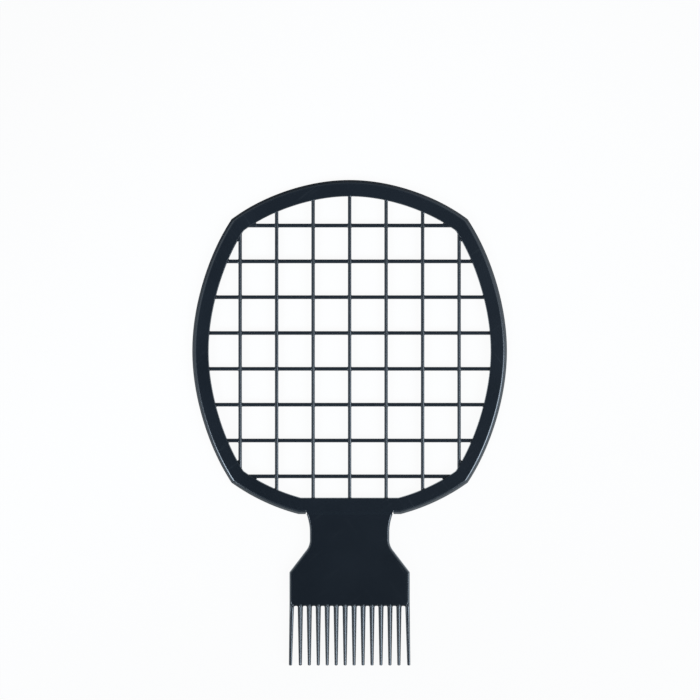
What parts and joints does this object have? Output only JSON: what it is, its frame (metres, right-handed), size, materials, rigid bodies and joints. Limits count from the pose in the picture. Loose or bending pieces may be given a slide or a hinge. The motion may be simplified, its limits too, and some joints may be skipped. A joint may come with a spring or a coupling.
{
  "type": "racket comb",
  "caption": "Flat black plastic comb shaped like a racket: a barrel-shaped ring with a square grid for twisting short curls, on a waisted handle that ends in a row of pick teeth.",
  "frame": {"origin": "middle of the comb's length and width, on the plane that its flat back lies on", "axes": "+X across the comb, to the right as seen from its front; +Y along it, from the teeth to the head of the ring; +Z out of its front face"},
  "size_m": [0.1656, 0.2554, 0.005],
  "materials": {
    "ring_plastic": "black moulded plastic, semi-gloss",
    "bar_plastic": "black moulded plastic, semi-gloss",
    "blade_plastic": "black moulded plastic, semi-gloss",
    "tooth_plastic": "black moulded plastic, semi-gloss"
  },
  "bodies": {
    "root": {"ring": "ring_plastic", "upright_bar_1": "bar_plastic", "upright_bar_2": "bar_plastic", "upright_bar_3": "bar_plastic", "upright_bar_4": "bar_plastic", "upright_bar_5": "bar_plastic", "upright_bar_6": "bar_plastic", "upright_bar_7": "bar_plastic", "level_bar_1": "bar_plastic", "level_bar_2": "bar_plastic", "level_bar_3": "bar_plastic", "level_bar_4": "bar_plastic", "level_bar_5": "bar_plastic", "level_bar_6": "bar_plastic", "level_bar_7": "bar_plastic", "level_bar_8": "bar_plastic", "handle_blade": "blade_plastic", "tooth_01": "tooth_plastic", "tooth_02": "tooth_plastic", "tooth_03": "tooth_plastic", "tooth_04": "tooth_plastic", "tooth_05": "tooth_plastic", "tooth_06": "tooth_plastic", "tooth_07": "tooth_plastic", "tooth_08": "tooth_plastic", "tooth_09": "tooth_plastic", "tooth_10": "tooth_plastic", "tooth_11": "tooth_plastic", "tooth_12": "tooth_plastic", "tooth_13": "tooth_plastic", "tooth_14": "tooth_plastic"}
  },
  "joints": []
}
